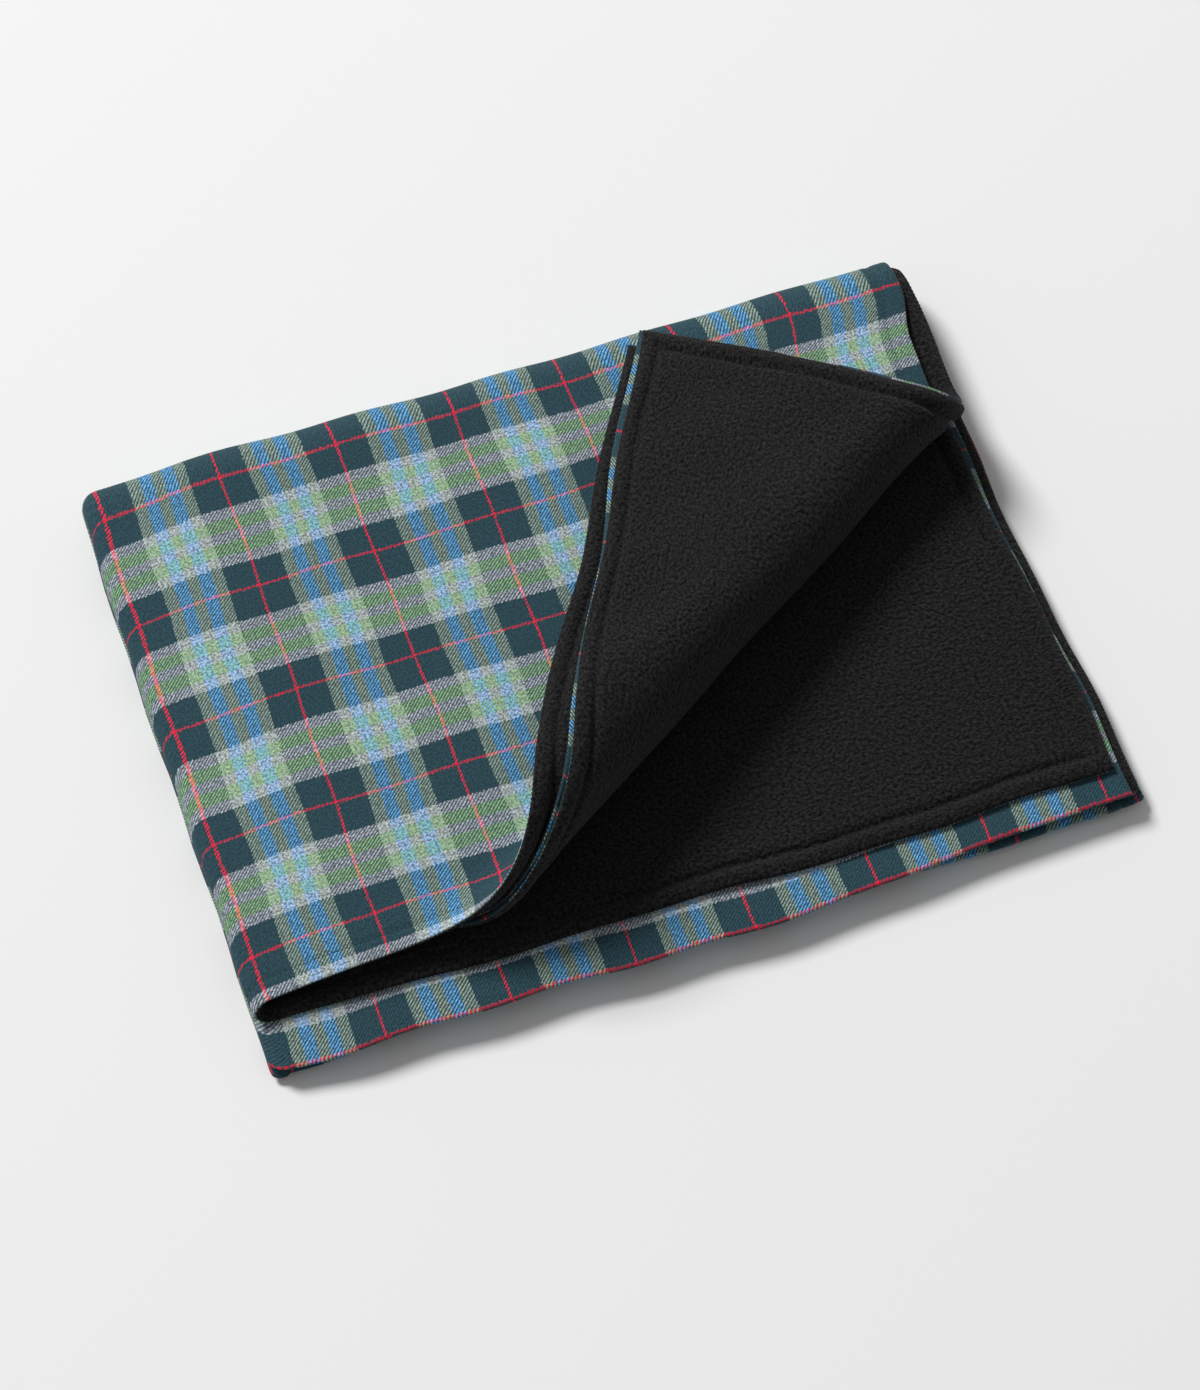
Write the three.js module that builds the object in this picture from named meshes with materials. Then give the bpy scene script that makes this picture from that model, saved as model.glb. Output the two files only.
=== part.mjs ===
import * as THREE from "three";

// A camp blanket, lying folded on a table with its top corner turned back.
//
// It is two sheets sewn together: a plaid flannel face and a fleece lining. They are stitched round the edge
// right sides together, turned out through a gap, and topstitched through both, which closes the gap.
// The blanket is folded in half three times: end to end, side to side, and end to end again, so eight leaves lie
// in the pack. The three uppermost leaves are then turned back together over a soft conical roll.
//
// Millimetres, +Z up. +X runs from the side fold to the loose hems, +Y from the front to the back fold.
// The origin is at the centre of the pack's bounding box, on the surface that it lies on.

// ---------------------------------------------------------------- driving sizes

const blanket = { width: 1270, length: 1830 };
const flannelThickness = 1.4;
const fleeceThickness = 3.0;
const plyGap = 0.3; // between the two sheets
const leafGap = 0.7; // between one leaf of the pack and the next
const frontToBack = 470; // along the blanket, from its first fold to its third

const topstitchInset = 15; // from the hem
const threadRadius = 0.22;
const threadSides = 3;
const threadGap = 0.4; // between the topstitching and the cloth that it lies on
const seamGap = 0.9; // between the seam's thread and the turned edge, which slants where the blanket is folded
const groove = { halfWidth: 4, flannelLeft: 0.35, fleeceLeft: 0.5 }; // share of the cloth left under the stitches
const hemRound = { depth: 3, flannelLeft: 0.5, fleeceLeft: 0.4 }; // the turned edge thins towards the seam

const cornerRoll = {
  leaves: 3, // how many of the uppermost leaves are turned back
  backToLine: 88, // along the loose hems, from the back fold's axis to where the roll starts
  lineAngle: THREE.MathUtils.degToRad(30.5), // from +X
  backRadius: 8,
  taper: 0.05, // how much the radius grows for each millimetre towards the front
  slope: THREE.MathUtils.degToRad(9), // of the flap, down from the roll to the top of the pack
  landingRadius: 70, // of the bend where the flap meets the pack
  skew: 0.21, // how far the flap is drawn towards the back along the roll, for each millimetre that it reaches over
};

const foldSteps = 6; // flats in each half turn
const innerFoldSteps = 4; // flats in the first fold, which is the tightest
const rollSteps = 10;
const landingSteps = 2;

const colours = {
  flannel: 0x4f6f5c,
  fleece: 0x1b1b1c,
  faceThread: 0x25463f,
  liningThread: 0x141415,
};

// ---------------------------------------------------------------- sizes that follow

const leaf = plyGap + flannelThickness + fleeceThickness;
const pitch = leaf + leafGap;
const middle = leaf / 2; // a leaf's own middle, above its plaid face
const firstAxis = leaf + leafGap / 2; // each fold's axis, above the plaid face of the lowest leaf
const secondAxis = 2 * pitch - leafGap / 2;
const thirdAxis = 4 * pitch - leafGap / 2;
const packTop = 2 * thirdAxis;
const lastTurnedDepth = cornerRoll.leaves * pitch; // a leaf that lies less deep than this is turned back
const quarterTurn = Math.PI / 2;
const rollTurn = Math.PI + cornerRoll.slope;

const lining = flannelThickness + plyGap; // where the fleece starts, above a leaf's plaid face
const seamHeight = flannelThickness * (1 - hemRound.flannelLeft / 2); // the middle of the flannel's turned edge

// ---------------------------------------------------------------- the three folds

// Where a point lands when a flat stack is folded over an axis that lies axisHeight above it. along is measured on
// the stack from the line of the fold, and the result's along is measured inwards from the axis. The cloth keeps its
// length at height neutral, so all of a leaf's surfaces turn through the same angle.
function foldOver(along, height, neutral, axisHeight) {
  const neutralRadius = axisHeight - neutral;
  const arc = quarterTurn * neutralRadius;
  if (Math.abs(along) <= arc) {
    const angle = along / neutralRadius;
    const radius = axisHeight - height;
    return {
      along: -radius * Math.cos(angle),
      height: axisHeight + radius * Math.sin(angle),
      flat: false,
    };
  }
  const folded = along > 0;
  return {
    along: Math.abs(along) - arc,
    height: folded ? 2 * axisHeight - height : height,
    flat: true,
  };
}

// The pack before its corner is turned back. u runs across the blanket and v along it, and height is measured from the
// plaid face towards the lining.
function foldedPlace(u, v, height) {
  const acrossLine = u - blanket.width / 2;
  const alongLine = v - blanket.length / 2;
  const first = foldOver(alongLine, height, middle, firstAxis);
  const firstMiddle = foldOver(alongLine, middle, middle, firstAxis);
  const second = foldOver(acrossLine, first.height, firstMiddle.height, secondAxis);
  const secondMiddle = foldOver(acrossLine, firstMiddle.height, firstMiddle.height, secondAxis);
  const third = foldOver(first.along - frontToBack, second.height, secondMiddle.height, thirdAxis);
  const thirdMiddle = foldOver(
    firstMiddle.along - frontToBack,
    secondMiddle.height,
    secondMiddle.height,
    thirdAxis,
  );
  return {
    x: second.along,
    y: -third.along,
    z: third.height,
    middleZ: thirdMiddle.height,
    flat: second.flat && third.flat,
  };
}

// ---------------------------------------------------------------- the turned corner

const lineDirection = new THREE.Vector2(-Math.cos(cornerRoll.lineAngle), -Math.sin(cornerRoll.lineAngle));
const towardsCorner = new THREE.Vector2(-lineDirection.y, lineDirection.x);
const hemInnerLeaf = blanket.width / 2 - quarterTurn * (secondAxis - pitch - middle);
const lineStart = new THREE.Vector2(hemInnerLeaf, -cornerRoll.backToLine);

function fromRollLine(place) {
  const offset = new THREE.Vector2(place.x, place.y).sub(lineStart);
  return { past: offset.dot(towardsCorner), down: offset.dot(lineDirection) };
}

function rollRadius(down) {
  return cornerRoll.backRadius + cornerRoll.taper * Math.max(down, 0);
}

// The straight stretch between the roll and the landing, which brings the flap down to one leaf gap above the pack.
function slopeLength(radius) {
  const drop = radius * (1 + Math.cos(cornerRoll.slope));
  const landing = cornerRoll.landingRadius * (1 - Math.cos(cornerRoll.slope));
  return (drop - landing - leafGap) / Math.sin(cornerRoll.slope);
}

// A point that lies past the roll line, carried round the roll, down the slope and onto the landing.
function rolledPlace(place) {
  const { past, down } = fromRollLine(place);
  const depth = packTop - place.z;
  const middleDepth = packTop - place.middleZ;
  const turned = middleDepth < lastTurnedDepth && past > 0;
  if (!turned) return new THREE.Vector3(place.x, place.y, place.z);

  const inner = rollRadius(down);
  const arcLength = (inner + middleDepth) * rollTurn;
  const slopeEnd = arcLength + slopeLength(inner);
  const landingEnd = slopeEnd + (cornerRoll.landingRadius - middleDepth) * cornerRoll.slope;

  const angle = Math.min(past / (inner + middleDepth), rollTurn);
  const section = new THREE.Vector2(
    (inner + depth) * Math.sin(angle),
    packTop + inner - (inner + depth) * Math.cos(angle),
  );
  const onSlope = Math.min(past, slopeEnd) - arcLength;
  if (onSlope > 0) {
    section.x -= onSlope * Math.cos(cornerRoll.slope);
    section.y -= onSlope * Math.sin(cornerRoll.slope);
  }
  const onLanding = Math.min(past, landingEnd) - slopeEnd;
  if (onLanding > 0) {
    const radius = cornerRoll.landingRadius - depth;
    const tilt = cornerRoll.slope - onLanding / (cornerRoll.landingRadius - middleDepth);
    section.x -= radius * (Math.sin(cornerRoll.slope) - Math.sin(tilt));
    section.y += radius * (Math.cos(cornerRoll.slope) - Math.cos(tilt));
  }
  section.x -= Math.max(past - landingEnd, 0);

  const drawnDown = down + cornerRoll.skew * Math.min(section.x, 0);
  const onPack = lineStart
    .clone()
    .addScaledVector(lineDirection, drawnDown)
    .addScaledVector(towardsCorner, section.x);
  return new THREE.Vector3(onPack.x, onPack.y, section.y);
}

function placeOf(u, v, height) {
  return rolledPlace(foldedPlace(u, v, height));
}

// The lines across a turned leaf where its flats meet, each as a function that is zero on its line.
function rollLines(middleDepth) {
  const lineAt = (reach) => (u, v) => {
    const { past, down } = fromRollLine(foldedPlace(u, v, middle));
    return past - reach(rollRadius(down));
  };
  const arcReach = (radius) => (radius + middleDepth) * rollTurn;
  const landingArc = (cornerRoll.landingRadius - middleDepth) * cornerRoll.slope;
  const lines = [];
  for (let i = 0; i <= rollSteps; i++) {
    lines.push(lineAt((radius) => (arcReach(radius) * i) / rollSteps));
  }
  for (let i = 0; i <= landingSteps; i++) {
    const stretch = (landingArc * i) / landingSteps;
    lines.push(lineAt((radius) => arcReach(radius) + slopeLength(radius) + stretch));
  }
  return lines;
}

function linesAcross(u, v) {
  const place = foldedPlace(u, v, middle);
  const depth = packTop - place.middleZ;
  return place.flat && depth < lastTurnedDepth ? rollLines(depth) : [];
}

// ---------------------------------------------------------------- stations on the flat blanket

const steps = (count, from, to) => Array.from({ length: count + 1 }, (_, i) => from + ((to - from) * i) / count);
const hemStations = [
  0,
  hemRound.depth,
  topstitchInset - groove.halfWidth,
  topstitchInset,
  topstitchInset + groove.halfWidth,
];
const halfTurn = steps(foldSteps, -quarterTurn, quarterTurn);

// Rows run across the blanket, one at each station along it, and each gives its own v from the radius of the third
// fold there. Columns do the same for u and the second fold.
const firstFoldArc = quarterTurn * (firstAxis - middle);
const lineOfThird = blanket.length / 2 - firstFoldArc - frontToBack;
const rows = [
  ...hemStations.map((inset) => ({ v: () => inset, upper: false })),
  ...halfTurn.map((angle) => ({ v: (radius) => lineOfThird + angle * radius, upper: false })),
  ...steps(innerFoldSteps, -quarterTurn, quarterTurn).map((angle) => ({
    v: () => blanket.length / 2 + angle * (firstAxis - middle),
  })),
  ...halfTurn.map((angle) => ({ v: (radius) => blanket.length - lineOfThird + angle * radius, upper: true })),
  ...hemStations.map((inset) => ({ v: () => blanket.length - inset, upper: true })).reverse(),
];
const columns = [
  ...hemStations.map((inset) => () => inset),
  ...halfTurn.map((angle) => (radius) => blanket.width / 2 + angle * radius),
  ...hemStations.map((inset) => () => blanket.width - inset).reverse(),
];

function stationAt(row, column) {
  const firstHeight =
    row.upper === undefined
      ? foldOver(row.v() - blanket.length / 2, middle, middle, firstAxis).height
      : row.upper
        ? middle + pitch
        : middle;
  const u = column(secondAxis - firstHeight);
  const secondHeight = foldOver(u - blanket.width / 2, firstHeight, firstHeight, secondAxis).height;
  return [u, row.v(thirdAxis - secondHeight)];
}

// ---------------------------------------------------------------- flat cells, cut where the cloth bends

const onLine = 0.4; // a corner this near a line counts as on it

function cutCell(cell, line) {
  const values = cell.map(([u, v]) => line(u, v)).map((value) => (Math.abs(value) < onLine ? 0 : value));
  if (values.every((value) => value >= 0) || values.every((value) => value <= 0)) return [cell];
  const sides = [[], []];
  cell.forEach((corner, i) => {
    const next = cell[(i + 1) % cell.length];
    const here = values[i];
    const there = values[(i + 1) % cell.length];
    if (here >= 0) sides[0].push(corner);
    if (here <= 0) sides[1].push(corner);
    if (here * there < 0) {
      const share = here / (here - there);
      const crossing = corner.map((value, axis) => value + (next[axis] - value) * share);
      sides.forEach((side) => side.push(crossing));
    }
  });
  return sides;
}

function flatCells() {
  const cells = [];
  for (let j = 0; j + 1 < rows.length; j++) {
    for (let i = 0; i + 1 < columns.length; i++) {
      const corners = [
        stationAt(rows[j], columns[i]),
        stationAt(rows[j], columns[i + 1]),
        stationAt(rows[j + 1], columns[i + 1]),
        stationAt(rows[j + 1], columns[i]),
      ];
      const centre = [0, 1].map((axis) => corners.reduce((sum, corner) => sum + corner[axis], 0) / 4);
      const lines = linesAcross(...centre);
      cells.push(...lines.reduce((parts, line) => parts.flatMap((part) => cutCell(part, line)), [corners]));
    }
  }
  return cells;
}

const cells = flatCells();

// ---------------------------------------------------------------- the sheets

const mix = THREE.MathUtils.lerp;

// How much of a sheet's thickness is left at a distance from the hem: all of it, except at the turned edge and under
// the topstitching.
function thicknessLeft(inset, atHem, atStitch) {
  const fromStitch = Math.abs(inset - topstitchInset) / groove.halfWidth;
  const fromHem = Math.max(inset, 0) / hemRound.depth;
  return mix(atHem, 1, Math.min(fromHem, 1)) * mix(atStitch, 1, Math.min(fromStitch, 1));
}

const flannelFace = (inset) =>
  flannelThickness * (1 - thicknessLeft(inset, hemRound.flannelLeft, groove.flannelLeft));
const fleeceFace = (inset) =>
  lining + fleeceThickness * thicknessLeft(inset, hemRound.fleeceLeft, groove.fleeceLeft);

function insetOf(u, v) {
  return Math.min(u, v, blanket.width - u, blanket.length - v);
}

function meshGeometry(points, triangles) {
  const geometry = new THREE.BufferGeometry();
  geometry.setAttribute(
    "position",
    new THREE.Float32BufferAttribute(
      points.flatMap((point) => point.toArray()),
      3,
    ),
  );
  geometry.setIndex(triangles.flat());
  geometry.computeVertexNormals();
  return geometry;
}

// A closed sheet between two surfaces, each given as a height above the leaf's plaid face at a distance from the hem.
function sheetGeometry(lowerHeight, upperHeight) {
  const numbers = new Map();
  const flat = [];
  const numberOf = ([u, v]) => {
    const key = u.toFixed(4) + "," + v.toFixed(4);
    if (!numbers.has(key)) {
      numbers.set(key, flat.length);
      flat.push([u, v]);
    }
    return numbers.get(key);
  };
  const faces = cells.map((cell) => cell.map(numberOf));
  const surface = (height) => flat.map(([u, v]) => placeOf(u, v, height(insetOf(u, v))));
  const points = [...surface(upperHeight), ...surface(lowerHeight)];
  const below = flat.length;
  const triangles = [];
  const edges = new Map();
  for (const face of faces) {
    for (let i = 1; i + 1 < face.length; i++) {
      triangles.push([face[0], face[i], face[i + 1]]);
      triangles.push([below + face[0], below + face[i + 1], below + face[i]]);
    }
    face.forEach((from, i) => edges.set(from + ">" + face[(i + 1) % face.length], [from, face[(i + 1) % face.length]]));
  }
  for (const [from, to] of edges.values()) {
    if (edges.has(to + ">" + from)) continue;
    triangles.push([from, below + from, below + to], [from, below + to, to]);
  }
  return meshGeometry(points, triangles);
}

// ---------------------------------------------------------------- the threads

// Stations round the blanket at one distance from its hems, with the direction that leads inwards at each.
function stationsRound(inset) {
  const lowerRow = { v: () => inset, upper: false };
  const upperRow = { v: () => blanket.length - inset, upper: true };
  const leftColumn = () => inset;
  const rightColumn = () => blanket.width - inset;
  const turns = columns.slice(hemStations.length, -hemStations.length);
  const bends = rows.slice(hemStations.length, -hemStations.length);
  const station = (row, column, inward) => ({ at: stationAt(row, column), inward });
  return [
    station(lowerRow, leftColumn, [1, 1]),
    ...turns.map((column) => station(lowerRow, column, [0, 1])),
    station(lowerRow, rightColumn, [-1, 1]),
    ...bends.map((row) => station(row, rightColumn, [-1, 0])),
    station(upperRow, rightColumn, [-1, -1]),
    ...turns.map((column) => station(upperRow, column, [0, -1])).reverse(),
    station(upperRow, leftColumn, [1, -1]),
    ...bends.map((row) => station(row, leftColumn, [1, 0])).reverse(),
  ];
}

// The same stations, with one more wherever a line of the roll crosses the thread.
function stationsWithCrossings(inset) {
  const stations = stationsRound(inset);
  return stations.flatMap((here, i) => {
    const next = stations[(i + 1) % stations.length];
    const between = (share) => here.at.map((value, axis) => mix(value, next.at[axis], share));
    const straight = here.inward.map((value, axis) => (value === next.inward[axis] ? value : 0));
    const crossings = linesAcross(...between(0.5))
      .map((line) => [line(...here.at), line(...next.at)])
      .filter(([a, b]) => a * b < 0 && Math.min(Math.abs(a), Math.abs(b)) > onLine)
      .map(([a, b]) => a / (a - b))
      .sort((a, b) => a - b);
    return [here, ...crossings.map((share) => ({ at: between(share), inward: straight }))];
  });
}

// A closed loop of thread, whose centre lies at one height above the leaf's plaid face.
function threadGeometry(inset, height) {
  const section = steps(threadSides, 0, 2 * Math.PI).slice(0, threadSides);
  const stations = stationsWithCrossings(inset);
  const points = stations.flatMap(({ at, inward }) =>
    section.map((angle) => {
      const aside = threadRadius * Math.cos(angle);
      const above = threadRadius * Math.sin(angle);
      return placeOf(at[0] + inward[0] * aside, at[1] + inward[1] * aside, height + above);
    }),
  );
  const triangles = [];
  stations.forEach((_, i) => {
    const next = (i + 1) % stations.length;
    section.forEach((_, side) => {
      const otherSide = (side + 1) % section.length;
      const [a, b] = [side, otherSide].map((corner) => i * threadSides + corner);
      const [c, d] = [side, otherSide].map((corner) => next * threadSides + corner);
      triangles.push([a, b, d], [a, d, c]);
    });
  });
  return meshGeometry(points, triangles);
}

const threadRoom = threadGap + threadRadius;

// ---------------------------------------------------------------- the blanket

function cloth(name, geometry, colour, roughness) {
  const mesh = new THREE.Mesh(
    geometry,
    new THREE.MeshStandardMaterial({ name, color: colour, roughness, metalness: 0 }),
  );
  mesh.name = name;
  return mesh;
}

const pack = new THREE.Group();
pack.add(
  cloth(
    "flannel_face",
    sheetGeometry(flannelFace, () => flannelThickness),
    colours.flannel,
    0.95,
  ),
  cloth(
    "fleece_lining",
    sheetGeometry(() => lining, fleeceFace),
    colours.fleece,
    1,
  ),
  cloth("seam_thread", threadGeometry(-seamGap - threadRadius, seamHeight), colours.faceThread, 0.7),
  cloth(
    "topstitch_needle_thread",
    threadGeometry(topstitchInset, flannelFace(topstitchInset) - threadRoom),
    colours.faceThread,
    0.7,
  ),
  cloth(
    "topstitch_bobbin_thread",
    threadGeometry(topstitchInset, fleeceFace(topstitchInset) + threadRoom),
    colours.liningThread,
    0.7,
  ),
);

const box = new THREE.Box3().setFromObject(pack);
const centre = box.getCenter(new THREE.Vector3());
pack.position.set(-centre.x, -centre.y, 0);

export default pack;
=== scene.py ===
# %% [markdown]
# A camp blanket that lies folded on a table, with one corner turned back.
# It is two sheets sewn together, a plaid flannel face and a fleece lining, so every visible surface is cloth.
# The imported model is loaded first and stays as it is. Each of its plain solids is then replaced by a fine cloth piece
# that lies in the same place.

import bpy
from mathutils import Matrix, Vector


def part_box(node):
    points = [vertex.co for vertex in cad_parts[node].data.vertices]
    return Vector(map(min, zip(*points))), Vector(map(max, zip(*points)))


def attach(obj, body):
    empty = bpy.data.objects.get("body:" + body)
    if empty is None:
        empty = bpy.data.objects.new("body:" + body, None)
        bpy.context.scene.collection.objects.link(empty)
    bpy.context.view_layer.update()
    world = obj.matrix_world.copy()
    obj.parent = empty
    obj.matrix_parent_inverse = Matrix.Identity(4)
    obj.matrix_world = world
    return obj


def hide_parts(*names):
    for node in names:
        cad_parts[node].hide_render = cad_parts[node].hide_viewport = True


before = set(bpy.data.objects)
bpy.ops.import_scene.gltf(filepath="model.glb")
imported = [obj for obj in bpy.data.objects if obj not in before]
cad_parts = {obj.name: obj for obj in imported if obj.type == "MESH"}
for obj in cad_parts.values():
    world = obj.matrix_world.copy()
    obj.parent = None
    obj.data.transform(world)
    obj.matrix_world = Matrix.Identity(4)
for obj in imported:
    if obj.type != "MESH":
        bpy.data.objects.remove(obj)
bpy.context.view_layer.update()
print("nodes", sorted(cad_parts))

# %% Libraries
import math

import bmesh
import bpy
import numpy as np
from mathutils import Vector

# %% [markdown]
# The blanket's own sizes come first, in metres. They are the sizes of the flat cloth and of the pack that it is folded
# into, so that the cloth below is folded the way a person folds it, and nothing is stretched.

# %% Sizes of the cloth
width, length = 1.270, 1.830
flannel_thickness, fleece_thickness = 0.0014, 0.0030
ply_gap = 0.0003  # between the two sheets
leaf_gap = 0.0007  # between one leaf of the pack and the next
front_to_back = 0.470  # along the blanket, from its first fold to its third
stitch_inset = 0.015  # of the topstitching, from the hem

# %% Heights in the pack
leaf = flannel_thickness + ply_gap + fleece_thickness
pitch = leaf + leaf_gap
middle = leaf / 2
first_axis = leaf + leaf_gap / 2
second_axis = 2 * pitch - leaf_gap / 2
third_axis = 4 * pitch - leaf_gap / 2
pack_top = 2 * third_axis
lining = flannel_thickness + ply_gap
print("pack is", round(pack_top * 1000, 1), "mm high")

# %% [markdown]
# A fold could be made with bones or a cloth simulation, but a simulation of eight leaves in contact drifts, and the
# pack has to end up exactly where its solids are. So each fold is a formula: a half circle at the fold, and flat cloth
# on both sides of it. The cloth keeps its length along the middle of each leaf.

# %% Fold a flat stack over an axis
def fold_over(along, height, neutral, axis):
    """Where points land when the stack is folded over an axis that lies at height axis."""
    radius = axis - neutral
    arc = math.pi / 2 * radius
    angle = np.clip(along / radius, -math.pi / 2, math.pi / 2)
    bent = np.abs(along) <= arc
    out_along = np.where(bent, -(axis - height) * np.cos(angle), np.abs(along) - arc)
    out_height = np.where(bent, axis + (axis - height) * np.sin(angle), np.where(along > 0, 2 * axis - height, height))
    return out_along, out_height


# %% Fold the blanket in half three times
def folded_place(u, v, height):
    """Across, along and up in the pack, and the height of the leaf's own middle there."""
    middles = middle + 0 * height
    a1, h1 = fold_over(v - length / 2, height, middles, first_axis)
    b1, m1 = fold_over(v - length / 2, middles, middles, first_axis)
    a2, h2 = fold_over(u - width / 2, h1, m1, second_axis)
    _, m2 = fold_over(u - width / 2, m1, m1, second_axis)
    a3, h3 = fold_over(a1 - front_to_back, h2, m2, third_axis)
    _, m3 = fold_over(b1 - front_to_back, m2, m2, third_axis)
    return a2, -a3, h3, m3


# %% [markdown]
# Folded by hand, the leaves never end exactly where a formula puts them. The back and side folds stand a little loose,
# the second and third leaves lie slack at the front, and the hems wander. All of these are small moves of the leaves
# in the pack, made before the corner is turned back.

# %% Loose folds and wandering hems
back_fold_looseness, side_fold_looseness = 0.58, 0.30
slack_leaf_pull = 0.034
front_moves = ([0.5, 3.5, 4.5, 5.5, 6.5, 7.5], [0.0, 0.015, 0.012, 0.012, -0.004, -0.004])  # by leaf, from the top


def smooth_step(value, low, high):
    share = np.clip((value - low) / (high - low), 0, 1)
    return share * share * (3 - 2 * share)


def loosened(x, y, z, middle_z):
    leaves_down = (pack_top - middle_z) / pitch
    pair = np.floor(leaves_down / 2)
    near_side_hem = smooth_step(x, 0.34, 0.62) * smooth_step(-y, 0.0, 0.05)
    near_front = smooth_step(-y, 0.30, 0.42)

    top_leaf, fourth_leaf = leaves_down < 1, (leaves_down > 3) & (leaves_down < 4)
    side_move = np.where(top_leaf, -0.010, np.where(fourth_leaf, -0.004, 0.0)) + 0.0018 * np.sin(17 * y + pair)
    inner_fold = np.hypot(np.minimum(x, 0), (leaves_down - 2) * pitch) < pitch
    slack = slack_leaf_pull * inner_fold * (1 - smooth_step(x, 0.09, 0.20))
    far_right = 0.014 * ((leaves_down > 4) & (leaves_down < 6)) * smooth_step(x, 0.35, 0.62)
    front_move = np.interp(leaves_down, *front_moves) * (1 - 0.6 * smooth_step(x, 0.0, 0.25))
    x = x + side_move * near_side_hem
    uneven = 0.0014 * np.sin(21 * x + 2 * pair) + 0.0007 * np.sin(63 * x + pair) * (leaves_down > 4)
    y = y + (slack + far_right + front_move + uneven) * near_front

    y = np.where(y > 0, y * (1 + back_fold_looseness), y)
    x = np.where(x < 0, x * (1 + side_fold_looseness), x)
    return x, y, z, middle_z


# %% [markdown]
# The three uppermost leaves are turned back together at the front right. They go round a soft roll whose radius grows
# towards the front, come down a gentle slope and lie flat on the pack. The roll is a cone, because a corner that is
# folded over by hand always opens wider at the end that nobody presses down.

# %% The turned corner's sizes
turned_leaves = 3
line_angle = math.radians(30.5)
back_to_line = 0.088
back_radius, taper = 0.008, 0.05
slope = math.radians(9)
landing_radius = 0.070
skew = 0.21  # the flap is drawn towards the back along the roll
roll_turn = math.pi + slope

down_dir = np.array([-math.cos(line_angle), -math.sin(line_angle)])
out_dir = np.array([-down_dir[1], down_dir[0]])
line_start = np.array([width / 2 - math.pi / 2 * (second_axis - pitch - middle), -back_to_line])


# %% How far the slope reaches
def slope_length(radius):
    """The straight stretch between the roll and the place where the flap meets the pack."""
    landing = landing_radius * (1 - math.cos(slope))
    return (radius * (1 + math.cos(slope)) - landing - leaf_gap) / math.sin(slope)


# %% How far the turned leaves creep past each other
top_leaf_creep = 0.020  # how far the top leaf's front hem has crept past the other two at the roll's wide end
leaf_slip = 0.0070  # the two leaves under the flap have slipped back round the roll
under_leaf_lag = 0.002  # how far the two leaves under the flap lie back from its side hem
end_puff = 0.006  # the roll's narrow end is a little fatter than its cone


# %% Carry a point round the roll
def turned_place(x, y, z, middle_z):
    past = (x - line_start[0]) * out_dir[0] + (y - line_start[1]) * out_dir[1]
    down = (x - line_start[0]) * down_dir[0] + (y - line_start[1]) * down_dir[1]
    depth, middle_depth = pack_top - z, pack_top - middle_z
    turned = (middle_depth < turned_leaves * pitch) & (past > 0)

    inner = back_radius + taper * np.maximum(down, 0) + end_puff * (1 - smooth_step(down, 0, 0.16))
    arc = (inner + middle_depth) * roll_turn
    creep = np.where(middle_depth < pitch, top_leaf_creep * smooth_step(down, 0.17, 0.50) - leaf_slip, 0)
    creep = creep - np.where((middle_depth > pitch) & (middle_depth < 2 * pitch), leaf_slip, 0)
    past = past + creep * smooth_step(past, 0, arc)
    under = np.where(middle_depth < 2 * pitch, under_leaf_lag, 0) * smooth_step(past, 0.3 * arc, arc)
    slope_end = arc + slope_length(inner)
    landing_end = slope_end + (landing_radius - middle_depth) * slope

    angle = np.minimum(past / (inner + middle_depth), roll_turn)
    across = (inner + depth) * np.sin(angle)
    up = pack_top + inner - (inner + depth) * np.cos(angle)
    on_slope = np.maximum(np.minimum(past, slope_end) - arc, 0)
    across = across - on_slope * math.cos(slope)
    up = up - on_slope * math.sin(slope)
    on_landing = np.maximum(np.minimum(past, landing_end) - slope_end, 0)
    tilt = slope - on_landing / (landing_radius - middle_depth)
    across = across - (landing_radius - depth) * (math.sin(slope) - np.sin(tilt))
    up = up + (landing_radius - depth) * (math.cos(slope) - np.cos(tilt))
    across = across - np.maximum(past - landing_end, 0)

    down = down + under + skew * np.minimum(across, 0)
    flap_x = line_start[0] + down_dir[0] * down + out_dir[0] * across
    flap_y = line_start[1] + down_dir[1] * down + out_dir[1] * across
    return np.where(turned, flap_x, x), np.where(turned, flap_y, y), np.where(turned, up, z)


# %% [markdown]
# Real cloth is never quite flat. A few long, shallow waves lift and lower the whole pack, and the same waves move
# every leaf at one spot, so no leaf is pushed through another.

# %% Long waves over the whole pack
wave_height = 0.045  # as a share of the height
wander = 0.0011  # how far the cloth has drifted sideways
side_droop, droop_reach = 0.24, 0.075  # the pack is thinner at its side fold, where the cloth is pressed


def waves(x, y):
    long_wave = np.sin(9.1 * x + 4.3 * y + 0.6) * np.sin(3.7 * x - 11.3 * y + 1.9)
    short_wave = np.sin(41 * x - 33 * y + 2.2) * np.sin(23 * x + 52 * y)
    return 0.65 * long_wave + 0.35 * short_wave


def drift(x, y):
    return np.sin(31 * x + 12 * y) + 0.7 * np.sin(57 * y - 26 * x + 1.1)


# %% Where a point of the flat blanket ends up
cloth_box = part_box("flannel_face")
front_fold = length / 2 + np.linspace(-0.005, 0.005, 200)
front = folded_place(0 * front_fold + 0.75 * width, front_fold, 0 * front_fold)[1].min()
pack_offset = (cloth_box[0][0] + second_axis, cloth_box[0][1] - front)


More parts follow.
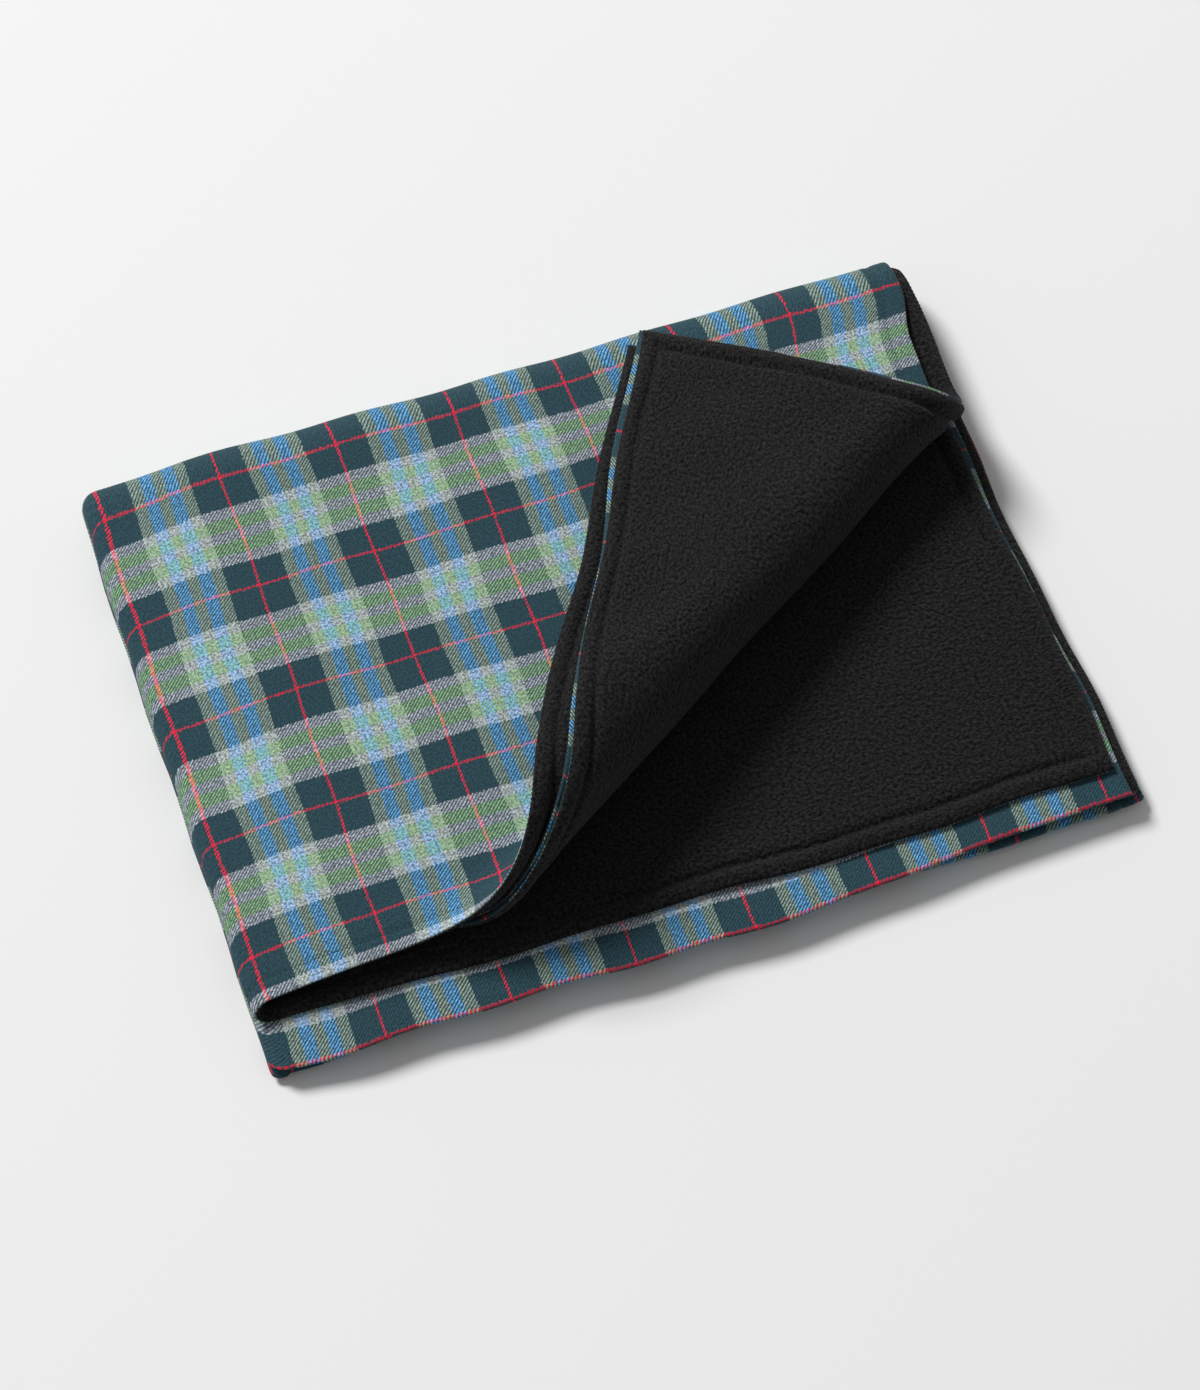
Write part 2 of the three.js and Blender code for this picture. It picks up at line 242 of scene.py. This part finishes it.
def place_of(u, v, height):
    """u runs across the flat blanket, v along it, and height from the plaid face towards the lining."""
    x, y, z = turned_place(*loosened(*folded_place(u, v, height)))
    droop = side_droop * (1 - smooth_step(x, -0.015, droop_reach))
    z = z * (1 + wave_height * waves(x, y)) * (1 - droop)
    x, y = x + wander * drift(x, y), y + wander * drift(y + 0.4, x)
    return np.stack([x + pack_offset[0], y + pack_offset[1], z], axis=1)


print("pack offset", [round(v, 4) for v in pack_offset])

# %% [markdown]
# The camera stands in front of the pack and looks down at it steeply, with a long lens, so that the sides of the pack
# stay nearly parallel. It is made early, because the size of everything in view depends on it.

# %% Camera
camera_azimuth, camera_elevation = math.radians(-19.16), math.radians(60)
camera_distance = 2.836
aim = Vector((0.2911 + pack_offset[0], -0.2637 + pack_offset[1], pack_top))

camera_data = bpy.data.cameras.new("camera")
camera_data.lens, camera_data.sensor_width, camera_data.sensor_fit = 120, 36, "HORIZONTAL"
camera_data.clip_end = 20
camera = bpy.data.objects.new("camera", camera_data)
bpy.context.collection.objects.link(camera)
back = Vector((
    math.sin(camera_azimuth) * math.cos(camera_elevation),
    -math.cos(camera_azimuth) * math.cos(camera_elevation),
    math.sin(camera_elevation),
))
camera.location = aim + back * camera_distance
camera.rotation_euler = (-back).to_track_quat("-Z", "Y").to_euler()
bpy.context.scene.camera = camera
print("camera at", [round(v, 3) for v in camera.location])

# %% [markdown]
# Each sheet starts as a flat grid. A plain even grid would need millions of faces to bend well at the folds, so the
# grid's lines are moved instead: close together at the hems and folds, and far apart where the cloth is flat or hidden.

# %% Lines of the grid near a hem and near a fold
hem_lines = [0, 0.0005, 0.0013, 0.0026, 0.0045, 0.007, 0.010, 0.012, 0.0135, 0.015, 0.0165, 0.018, 0.020, 0.023]


def fold_lines(centre, reach, step):
    count = math.ceil(reach / step)
    return [centre + reach * i / count for i in range(-count, count + 1)]


def fill_lines(fixed, step_at):
    """Adds lines between the fixed ones, as far apart as step_at allows there."""
    fixed = sorted(fixed)
    lines = [fixed[0]]
    for start, end in zip(fixed, fixed[1:]):
        count = max(1, math.ceil((end - start) / step_at((start + end) / 2)))
        lines += [start + (end - start) * (i + 1) / count for i in range(count)]
    return lines


# %% All lines across and along the blanket
seen_step, hidden_step = 0.0115, 0.030
third_line = length / 2 - math.pi / 2 * (first_axis - middle) - front_to_back
lines_u = fill_lines(
    hem_lines + [width - line for line in hem_lines] + fold_lines(width / 2, 0.0135, 0.0013),
    lambda u: seen_step,
)
lines_v = fill_lines(
    hem_lines
    + [length - line for line in hem_lines]
    + fold_lines(length / 2, 0.0045, 0.0009)
    + fold_lines(third_line, 0.006, 0.0012)
    + fold_lines(third_line, 0.031, 0.0031)
    + fold_lines(length - third_line, 0.006, 0.0012)
    + fold_lines(length - third_line, 0.031, 0.0031)
    + [length / 2 - 0.05, length / 2 + 0.05],
    lambda v: hidden_step if third_line < v < length - third_line and abs(v - length / 2) > 0.05 else seen_step,
)
print(len(lines_u), "lines across,", len(lines_v), "along")

# %% [markdown]
# A turned leaf bends along slanting lines that fan out from the point of the roll's cone. The grid has no edges there,
# so each leaf is cut along those lines with bisect_plane, which is what a knife cut does in the editor.

# %% Cut the flat grid where the turned leaves bend
roll_cuts = 15
turned_quadrants = ((0.25, 0.1), (0.25, 0.9), (0.75, 0.9))  # places on the blanket that lie in the three turned leaves


def cut_turned_leaves(mesh):
    for share_u, share_v in turned_quadrants:
        spot = [np.array([share * size]) for share, size in ((share_u, width), (share_v, length))]
        x, y, _, middle_z = (float(c[0]) for c in folded_place(*spot, np.array([middle])))
        sign_u = -1 if share_u < 0.5 else 1
        sign_v = 1 if share_v < 0.5 else -1
        middle_depth = pack_top - middle_z

        def on_blanket(past, down):
            px, py = line_start + down_dir * down + out_dir * past
            return Vector((float(spot[0][0]) + sign_u * (px - x), float(spot[1][0]) + sign_v * (py - y), 0))

        def reach(down, k):
            radius = back_radius + taper * down
            arc = (radius + middle_depth) * roll_turn
            if k <= roll_cuts:
                return arc * k / roll_cuts
            return arc + slope_length(radius) + (landing_radius - middle_depth) * slope * (k - roll_cuts - 1) / 2

        low_v, high_v = (0, third_line) if share_v < 0.5 else (length - third_line, length)
        faces = [f for f in mesh.faces
                 if (f.calc_center_median().x < width / 2) == (share_u < 0.5)
                 and low_v < f.calc_center_median().y < high_v]
        geometry = list({v for f in faces for v in f.verts} | {e for f in faces for e in f.edges}) + faces
        for k in range(roll_cuts + 4):
            near, far = on_blanket(reach(0, k), 0), on_blanket(reach(0.7, k), 0.7)
            line = (far - near).normalized()
            cut = bmesh.ops.bisect_plane(
                mesh, geom=geometry, dist=0.0004, plane_co=near, plane_no=Vector((-line.y, line.x, 0)))
            geometry = cut["geom"]


# %% Thickness of the cloth near the hem
hem_round = 0.0045


def bump_at(distance, centre, spread):
    return np.exp(-(((distance - centre) / spread) ** 2))


def thickness_left(inset, at_hem, at_stitch, swell):
    """Share of a sheet's thickness at a distance from the hem: thin at the turned edge, pinched by the stitching."""
    rounded = at_hem + (1 - at_hem) * np.sqrt(np.clip(inset / hem_round, 0, 1) * (2 - np.clip(inset / hem_round, 0, 1)))
    pinched = 1 - (1 - at_stitch) * bump_at(inset, stitch_inset, 0.0021)
    puffed = 1 + swell * (bump_at(inset, 0.0075, 0.004) + 0.6 * bump_at(inset, 0.0225, 0.005))
    return rounded * pinched * puffed


def flannel_surface(inset):
    return flannel_thickness * (1 - thickness_left(inset, 0.45, 0.45, 0.0))


def fleece_surface(inset):
    return lining + fleece_thickness * thickness_left(inset, 0.30, 0.22, 0.50)


# %% [markdown]
# The plaid on the hidden leaves can't be seen, but its bands have to arrive at the front fold as they do on the real
# blanket, where the weave is drawn in a little round the back fold. The cloth's own map carries that shift.

# %% The weave's own map
drawn_in, drawn_aside = 0.064, -0.006


def hidden_share(v):
    return smooth_step(v, 0.48, 0.86) - smooth_step(v, 0.97, 1.35)


# %% Make a folded sheet
def fold_sheet(name, lower, upper):
    """A closed sheet of cloth between two surfaces, each a function of the distance from the hem."""
    bm = bmesh.new()
    bmesh.ops.create_grid(bm, x_segments=len(lines_u) - 1, y_segments=len(lines_v) - 1, size=1)
    for vert in bm.verts:
        i = round((vert.co.x + 1) / 2 * (len(lines_u) - 1))
        j = round((vert.co.y + 1) / 2 * (len(lines_v) - 1))
        vert.co = (lines_u[i], lines_v[j], 0)
    cut_turned_leaves(bm)
    bmesh.ops.solidify(bm, geom=bm.faces[:], thickness=1)
    bmesh.ops.recalc_face_normals(bm, faces=bm.faces)

    weave = bm.loops.layers.uv.new("weave")
    for face in bm.faces:
        for loop in face.loops:
            loop[weave].uv = (loop.vert.co.x, loop.vert.co.y)
    mesh = bpy.data.meshes.new(name)
    bm.to_mesh(mesh)
    bm.free()

    flat = np.empty(len(mesh.vertices) * 3)
    mesh.vertices.foreach_get("co", flat)
    u, v, side = flat.reshape(-1, 3).T
    side = (side - side.min()) / (side.max() - side.min())
    inset = np.minimum(np.minimum(u, width - u), np.minimum(v, length - v))
    height = np.where(side > 0.5, upper(inset), lower(inset))
    mesh.vertices.foreach_set("co", place_of(u, v, height).ravel())

    map_uv = np.empty(len(mesh.loops) * 2)
    mesh.uv_layers["weave"].data.foreach_get("uv", map_uv)
    map_uv = map_uv.reshape(-1, 2)
    map_uv += hidden_share(map_uv[:, 1:]) * (drawn_aside, drawn_in)
    mesh.uv_layers["weave"].data.foreach_set("uv", map_uv.ravel())
    mesh.polygons.foreach_set("use_smooth", np.ones(len(mesh.polygons), bool))
    mesh.update()
    piece = bpy.data.objects.new(name, mesh)
    bpy.context.collection.objects.link(piece)
    mesh.calc_loop_triangles()
    print(name, len(mesh.vertices), "vertices,", len(mesh.loop_triangles), "triangles")
    return piece


# %% [markdown]
# The flannel and the fleece are folded from the same flat grid, so they follow each other exactly, a hair apart.

# %% The two sheets
flannel = fold_sheet("plaid_flannel", flannel_surface, lambda inset: flannel_thickness + 0 * inset)
fleece = fold_sheet("black_fleece", lambda inset: lining + 0 * inset, fleece_surface)

# %% [markdown]
# The topstitching is a line of short stitches all the way round. Each stitch lies on the cloth and dives into it at
# both ends. A long tube is made from a grid that is wrapped round, one row of faces for each side of the thread, and
# its rings follow the flat blanket's edge before the whole is folded with the cloth.

# %% Walk round the blanket at one distance from its hem
def walk_round(inset, distance):
    """Flat places along a rectangle inside the hem, with the direction that leads inwards."""
    across, along = width - 2 * inset, length - 2 * inset
    t = distance % (2 * (across + along))
    ends = np.cumsum([across, along, across, along])
    leg = np.searchsorted(ends, t, side="right").clip(0, 3)
    here = t - np.concatenate([[0], ends])[leg]
    u = np.select([leg == 0, leg == 1, leg == 2], [inset + here, width - inset + 0 * here, width - inset - here], inset)
    v = np.select([leg == 0, leg == 1, leg == 2], [inset + 0 * here, inset + here, length - inset + 0 * here], length - inset - here)
    inward = np.array([(0, 1), (-1, 0), (0, -1), (1, 0)])[leg]
    return u, v, inward


# %% Make a line of stitches
stitch_length = 0.0034
rings_per_stitch, thread_sides = 6, 4


def stitch_line(name, inset, radius, sideways, height):
    """sideways and height are functions of the place along a stitch, from 0 to 1."""
    round_it = 2 * (width + length - 4 * inset)
    stitches = round(round_it / stitch_length)
    rings = stitches * rings_per_stitch
    bm = bmesh.new()
    bmesh.ops.create_grid(bm, x_segments=rings, y_segments=thread_sides, size=1)
    mesh = bpy.data.meshes.new(name)
    bm.to_mesh(mesh)
    grid = np.array([vert.co for vert in bm.verts])
    ring = np.round((grid[:, 0] + 1) / 2 * rings)
    side = np.round((grid[:, 1] + 1) / 2 * thread_sides)
    u, v, inward = walk_round(inset, (ring % rings) / rings * round_it)
    share = (ring % rings_per_stitch) / rings_per_stitch
    turn = 2 * math.pi * side / thread_sides
    aside = sideways(share) + radius * np.cos(turn)
    up = height(share) + radius * np.sin(turn)
    places = place_of(u + inward[:, 0] * aside, v + inward[:, 1] * aside, up)
    for vert, place in zip(bm.verts, places):
        vert.co = place
    bmesh.ops.remove_doubles(bm, verts=bm.verts, dist=1e-6)
    bmesh.ops.recalc_face_normals(bm, faces=bm.faces)
    for face in bm.faces:
        face.smooth = True
    bm.to_mesh(mesh)
    bm.free()
    piece = bpy.data.objects.new(name, mesh)
    bpy.context.collection.objects.link(piece)
    print(name, stitches, "stitches,", 2 * len(mesh.polygons), "triangles")
    return piece


# %% The three threads
thread_radius = 0.00024


def arch(share):
    return np.sin(math.pi * share)


stitch_face = float(flannel_surface(np.array([stitch_inset]))[0])
stitch_back = float(fleece_surface(np.array([stitch_inset]))[0])
needle_thread = stitch_line(
    "needle_thread", stitch_inset, thread_radius,
    lambda s: 0 * s, lambda s: stitch_face + 0.0004 - 0.0007 * arch(s))
bobbin_thread = stitch_line(
    "bobbin_thread", stitch_inset, thread_radius,
    lambda s: 0 * s, lambda s: stitch_back - 0.0004 + 0.0007 * arch(s))
seam_thread = stitch_line(
    "hem_seam_thread", 0.0, thread_radius,
    lambda s: -0.0004 + 0.0010 * (1 - arch(s)), lambda s: 0.0014 + 0.0003 * arch(s))

# %% [markdown]
# Shader helpers. A wire between two nodes is long to write, so a small function makes a node, sets its inputs and
# joins what is given to it.

# %% Helper for nodes
def add_node(tree, kind, inputs=(), **settings):
    made = tree.nodes.new(kind)
    for key, value in settings.items():
        setattr(made, key, value)
    for key, value in dict(inputs).items():
        if isinstance(value, bpy.types.NodeSocket):
            tree.links.new(value, made.inputs[key])
        else:
            made.inputs[key].default_value = value
    return made


def maths(tree, operation, a, b=0.0, c=0.0):
    return add_node(tree, "ShaderNodeMath", {0: a, 1: b, 2: c}, operation=operation).outputs[0]


def mixed(tree, share, a, b, blend="MIX"):
    made = add_node(tree, "ShaderNodeMix", data_type="RGBA", blend_type=blend)
    for index, value in ((0, share), (6, a), (7, b)):
        if isinstance(value, bpy.types.NodeSocket):
            tree.links.new(value, made.inputs[index])
        else:
            made.inputs[index].default_value = value
    return made.outputs[2]


def colour(text):
    """A colour from the hexadecimal notation that a cloth card gives, as Blender's linear colour."""
    parts = [int(text[i:i + 2], 16) / 255 for i in (0, 2, 4)]
    return tuple(p / 12.92 if p <= 0.04045 else ((p + 0.055) / 1.055) ** 2.4 for p in parts) + (1.0,)


# %% Helper for node groups
def new_group(name, inputs, outputs):
    group = bpy.data.node_groups.new(name, "ShaderNodeTree")
    for socket, kind, value in inputs:
        made = group.interface.new_socket(socket, in_out="INPUT", socket_type=kind)
        if value is not None:
            made.default_value = value
    for socket, kind in outputs:
        group.interface.new_socket(socket, in_out="OUTPUT", socket_type=kind)
    return group, group.nodes.new("NodeGroupInput").outputs, group.nodes.new("NodeGroupOutput").inputs


# %% [markdown]
# The flannel is a two-and-two twill: each yarn passes over two and under two, one step further in each row, which
# draws the slanting ribs. One group finds which yarn is on top, how high it stands and where its fibres lie.
# The twill's rib is wide enough to see, so besides its bump it gets painted light and shade, yarn by yarn.

# %% Twill weave group
twill, ins, outs = new_group(
    "Twill weave",
    [("U", "NodeSocketFloat", 0.0), ("V", "NodeSocketFloat", 0.0), ("Yarn", "NodeSocketFloat", 0.00072)],
    [("Warp on top", "NodeSocketFloat"), ("Height", "NodeSocketFloat")],
)
yarn_u = maths(twill, "DIVIDE", ins["U"], ins["Yarn"])
yarn_v = maths(twill, "DIVIDE", ins["V"], ins["Yarn"])
number = maths(twill, "ADD", maths(twill, "FLOOR", yarn_u), maths(twill, "FLOOR", yarn_v))
step_of_four = maths(twill, "FLOORED_MODULO", number, 4.0)
on_top = maths(twill, "LESS_THAN", step_of_four, 1.5)
across_yarn_u = maths(twill, "PINGPONG", yarn_u, 0.5)
across_yarn_v = maths(twill, "PINGPONG", yarn_v, 0.5)
round_yarn = add_node(twill, "ShaderNodeMix", {0: on_top, 2: across_yarn_v, 3: across_yarn_u}).outputs[0]
rib = maths(twill, "PINGPONG", maths(twill, "ADD", yarn_u, yarn_v), 2.0)
twill.links.new(on_top, outs["Warp on top"])
twill.links.new(maths(twill, "ADD", round_yarn, maths(twill, "MULTIPLY", rib, 0.35)), outs["Height"])
print("group", twill.name, len(twill.nodes), "nodes")

# %% [markdown]
# Both cloths are brushed, so their fibres stand up and clump. One group makes the clumps at any size: a soft mottle
# for colour and a height for the bump. The fleece uses it large, and the flannel fine.

# %% Brushed nap group
nap, ins, outs = new_group(
    "Brushed nap",
    [("Vector", "NodeSocketVector", None), ("Clump", "NodeSocketFloat", 0.002)],
    [("Mottle", "NodeSocketFloat"), ("Height", "NodeSocketFloat")],
)
per_clump = maths(nap, "DIVIDE", 1.0, ins["Clump"])
clumps = add_node(nap, "ShaderNodeTexNoise", {"Vector": ins["Vector"], "Scale": per_clump, "Detail": 3.0, "Roughness": 0.62})
pills = add_node(nap, "ShaderNodeTexVoronoi", {"Vector": ins["Vector"], "Scale": per_clump, "Smoothness": 0.6}, feature="SMOOTH_F1")
nap.links.new(clumps.outputs["Fac"], outs["Mottle"])
nap.links.new(
    maths(nap, "SUBTRACT", clumps.outputs["Fac"], maths(nap, "MULTIPLY", pills.outputs["Distance"], 0.5)), outs["Height"])
print("group", nap.name, len(nap.nodes), "nodes")

# %% [markdown]
# The plaid's colours come from its yarns. Stripes of coloured yarn run along the cloth and others across it, and
# where they cross, the eye mixes the two. So there are two rows of bands, one for each direction, and the weave
# decides which of them shows at each yarn. The widths are in millimetres of one repeat. Some of the yarns are spun
# from mixed fibres, the grey most of all, so each colour's fourth number says how speckled its yarn is.

# %% Yarn colours and bands
yarns = {
    "teal": colour("2a444d")[:3] + (0.26,),
    "khaki": colour("87978a")[:3] + (0.42,),
    "blue": colour("5f9ccd")[:3] + (0.50,),
    "grey": colour("b4b7c0")[:3] + (0.62,),
    "green": colour("97bd8a")[:3] + (0.44,),
    "red": colour("ea2242")[:3] + (0.20,),
}
along_bands = [("red", 0.8), ("teal", 22.6), ("khaki", 31.2), ("blue", 40.5), ("khaki", 49.0), ("blue", 58.1),
               ("khaki", 67.0), ("teal", 88.3), ("red", 89.1)]
across_bands = [("red", 1.1), ("teal", 22.3), ("grey", 30.8), ("green", 41.4), ("grey", 49.7), ("green", 59.8),
                ("grey", 68.6), ("teal", 93.1), ("red", 94.2)]
along_start, across_start = -0.0011, 0.0333  # where a red line falls, from the blanket's corner


def band_colours(tree, place, bands, start):
    """The yarn colour at a place, from bands that repeat."""
    repeat = bands[-1][1] / 1000
    share = maths(tree, "FRACT", maths(tree, "DIVIDE", maths(tree, "SUBTRACT", place, start), repeat))
    ramp = add_node(tree, "ShaderNodeValToRGB", {"Fac": share})
    ramp.color_ramp.interpolation = "CONSTANT"
    stops = ramp.color_ramp.elements
    edges = [0.0] + [end / bands[-1][1] for _, end in bands[:-1]]
    while len(stops) < len(bands):
        stops.new(0.5)
    for stop, edge, (name, _) in zip(stops, edges, bands):
        stop.position = edge
    for stop, (name, _) in zip(stops, bands):
        stop.color = yarns[name]
    return ramp.outputs["Color"], ramp.outputs["Alpha"]


# %% Flannel finish
flannel_finish = bpy.data.materials.new("Brushed plaid flannel")
flannel_finish.use_nodes = True
tree = flannel_finish.node_tree
shader = tree.nodes["Principled BSDF"]
cloth_map = add_node(tree, "ShaderNodeUVMap", uv_map="weave").outputs[0]

strays = add_node(tree, "ShaderNodeTexNoise", {"Vector": cloth_map, "Scale": 520.0, "Detail": 2.0})
stray = add_node(tree, "ShaderNodeVectorMath", {0: strays.outputs["Color"], 1: (0.5, 0.5, 0.5)}, operation="SUBTRACT")
strayed = add_node(tree, "ShaderNodeVectorMath", {0: stray.outputs[0], 1: (0.0034, 0.0034, 0.0), 2: cloth_map}, operation="MULTIPLY_ADD")
places = add_node(tree, "ShaderNodeSeparateXYZ", {0: strayed.outputs[0]})
nearly = add_node(tree, "ShaderNodeVectorMath", {0: stray.outputs[0], 1: (0.0009, 0.0009, 0.0), 2: cloth_map}, operation="MULTIPLY_ADD")
yarn_places = add_node(tree, "ShaderNodeSeparateXYZ", {0: nearly.outputs[0]})
weave = add_node(tree, "ShaderNodeGroup", {"U": yarn_places.outputs[0], "V": yarn_places.outputs[1]}, node_tree=twill)
warp, warp_speckle = band_colours(tree, places.outputs[0], along_bands, along_start)
weft, weft_speckle = band_colours(tree, places.outputs[1], across_bands, across_start)
shows = maths(tree, "MULTIPLY_ADD", weave.outputs["Warp on top"], 0.84, 0.08)
woven = mixed(tree, shows, weft, warp)
speckle = add_node(tree, "ShaderNodeMix", {0: shows, 2: weft_speckle, 3: warp_speckle}).outputs[0]
fuzz = add_node(tree, "ShaderNodeGroup", {"Vector": cloth_map, "Clump": 0.0018}, node_tree=nap)
mottle = add_node(tree, "ShaderNodeMapRange", {"Value": fuzz.outputs["Mottle"], 1: 0.40, 2: 0.60, 3: -1.0, 4: 1.0})
shade = maths(tree, "MULTIPLY_ADD", mottle.outputs[0], speckle, 1.04)
# painted light and shade of the twill's ribs: the yarns on top are made lighter and those beneath darker, on top of the
# heather speckle
speckle_and_rib_painted_light = maths(tree, "MULTIPLY", shade, maths(tree, "MULTIPLY_ADD", weave.outputs["Warp on top"], 0.36, 0.84))
shaded = add_node(tree, "ShaderNodeVectorMath", {0: woven, "Scale": speckle_and_rib_painted_light}, operation="SCALE")
tree.links.new(shaded.outputs[0], shader.inputs["Base Color"])
relief = maths(tree, "ADD", maths(tree, "MULTIPLY", weave.outputs["Height"], 0.5), fuzz.outputs["Height"])
bump = add_node(tree, "ShaderNodeBump", {"Height": relief, "Strength": 0.55, "Distance": 0.0007})
tree.links.new(bump.outputs[0], shader.inputs["Normal"])
shader.inputs["Roughness"].default_value = 0.92
shader.inputs["Specular IOR Level"].default_value = 0.12
shader.inputs["Sheen Weight"].default_value = 0.06
shader.inputs["Sheen Roughness"].default_value = 0.5
print("flannel finish", len(tree.nodes), "nodes")

# %% [markdown]
# The fleece is knitted and brushed until no stitch shows: a short, pebbly pile that takes nearly all the light. Its
# sheen is what tells it from black paint, so a little is set on the shader itself.

# %% Fleece finish
fleece_finish = bpy.data.materials.new("Black blanket fleece")
fleece_finish.use_nodes = True
tree = fleece_finish.node_tree
shader = tree.nodes["Principled BSDF"]
cloth_map = add_node(tree, "ShaderNodeUVMap", uv_map="weave").outputs[0]
pebbles = add_node(tree, "ShaderNodeGroup", {"Vector": cloth_map, "Clump": 0.0027}, node_tree=nap)
fibres = add_node(tree, "ShaderNodeGroup", {"Vector": cloth_map, "Clump": 0.0009}, node_tree=nap)
# the pile's colour is partly its own uneven tone and partly painted light and shade of its pebbles: lighter where the
# clumps stand highest
pile_tone_and_painted_shade = add_node(tree, "ShaderNodeMapRange", {"Value": pebbles.outputs["Mottle"], 1: 0.37, 2: 0.63, 3: 0.0, 4: 1.0})
pile = mixed(tree, pile_tone_and_painted_shade.outputs[0], colour("0a0a0b"), colour("2c2c2d"))
tree.links.new(pile, shader.inputs["Base Color"])
relief = maths(tree, "MULTIPLY_ADD", fibres.outputs["Height"], 0.25, pebbles.outputs["Height"])
bump = add_node(tree, "ShaderNodeBump", {"Height": relief, "Strength": 1.0, "Distance": 0.0030})
tree.links.new(bump.outputs[0], shader.inputs["Normal"])
shader.inputs["Roughness"].default_value = 0.95
shader.inputs["Specular IOR Level"].default_value = 0.1
shader.inputs["Sheen Weight"].default_value = 0.05
shader.inputs["Sheen Roughness"].default_value = 0.45
print("fleece finish", len(tree.nodes), "nodes")

# %% [markdown]
# Sewing thread is two or three strands twisted together. Its twist is too fine for geometry, so slanting bands in
# Object coordinates give it as a bump and as painted light and shade on the strands, the same for all three threads
# with their own colours.

# %% Twisted thread group
twist, ins, outs = new_group(
    "Twisted thread",
    [("Vector", "NodeSocketVector", None), ("Base", "NodeSocketColor", (0.1, 0.1, 0.1, 1))],
    [("Color", "NodeSocketColor"), ("Height", "NodeSocketFloat")],
)
strands = add_node(twist, "ShaderNodeTexWave", {"Vector": ins["Vector"], "Scale": 900.0, "Distortion": 1.5}, bands_direction="DIAGONAL")
# painted light and shade of the twist: the thread's colour is darkened between the strands and lightened on them
strand_painted_light = add_node(twist, "ShaderNodeMapRange", {"Value": strands.outputs["Fac"], 3: 0.6, 4: 1.15})
tinted = add_node(twist, "ShaderNodeVectorMath", {0: ins["Base"], "Scale": strand_painted_light.outputs[0]}, operation="SCALE")
twist.links.new(tinted.outputs[0], outs["Color"])
twist.links.new(strands.outputs["Fac"], outs["Height"])


def thread_finish(name, base):
    made = bpy.data.materials.new(name)
    made.use_nodes = True
    inside = made.node_tree
    look = inside.nodes["Principled BSDF"]
    where = add_node(inside, "ShaderNodeTexCoord").outputs["Object"]
    strand = add_node(inside, "ShaderNodeGroup", {"Vector": where, "Base": base}, node_tree=twist)
    inside.links.new(strand.outputs["Color"], look.inputs["Base Color"])
    lifted = add_node(inside, "ShaderNodeBump", {"Height": strand.outputs["Height"], "Strength": 0.4, "Distance": 0.0001})
    inside.links.new(lifted.outputs[0], look.inputs["Normal"])
    look.inputs["Roughness"].default_value = 0.6
    return made


# %% Give each piece its finish
for piece, finish, slot, node in (
    (flannel, flannel_finish, "plaid_flannel", "flannel_face"),
    (fleece, fleece_finish, "black_fleece", "fleece_lining"),
    (seam_thread, thread_finish("Green seam thread", colour("2c4a44")), "seam_thread", "seam_thread"),
    (needle_thread, thread_finish("Green topstitch thread", colour("27433f")), "needle_thread", "topstitch_needle_thread"),
    (bobbin_thread, thread_finish("Black topstitch thread", colour("131314")), "bobbin_thread", "topstitch_bobbin_thread"),
):
    piece.data.materials.append(finish)
    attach(piece, "root")
    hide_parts(node)
    print(piece.name, "replaces", node)

# %% [markdown]
# The setting is a pale sweep of paper in a studio. One wide soft light stands behind and to the left, so the shadow
# falls to the front right, and the pale surroundings fill the rest.

# %% Floor
bm = bmesh.new()
bmesh.ops.create_grid(bm, x_segments=1, y_segments=1, size=6)
floor_mesh = bpy.data.meshes.new("floor")
bm.to_mesh(floor_mesh)
bm.free()
floor = bpy.data.objects.new("floor", floor_mesh)
bpy.context.collection.objects.link(floor)
floor_finish = bpy.data.materials.new("Pale paper")
floor_finish.use_nodes = True
floor_finish.node_tree.nodes["Principled BSDF"].inputs["Base Color"].default_value = (0.85, 0.85, 0.85, 1)
floor_finish.node_tree.nodes["Principled BSDF"].inputs["Roughness"].default_value = 0.9
floor_finish.node_tree.nodes["Principled BSDF"].inputs["Specular IOR Level"].default_value = 0.1
floor_mesh.materials.append(floor_finish)

# %% Lights
def soft_light(name, place, size, power):
    data = bpy.data.lights.new(name, "AREA")
    data.shape, data.size, data.energy = "DISK", size, power
    light = bpy.data.objects.new(name, data)
    bpy.context.collection.objects.link(light)
    light.location = place
    light.rotation_euler = (aim - Vector(place)).to_track_quat("-Z", "Y").to_euler()
    return light


soft_light("key", (-5.0, 8.8, 9.8), 4.8, 2050)
world = bpy.data.worlds.new("studio")
world.use_nodes = True
world.node_tree.nodes["Background"].inputs["Color"].default_value = (1, 1, 1, 1)
world.node_tree.nodes["Background"].inputs["Strength"].default_value = 0.29
bpy.context.scene.world = world
bpy.context.scene.view_settings.view_transform = "Standard"
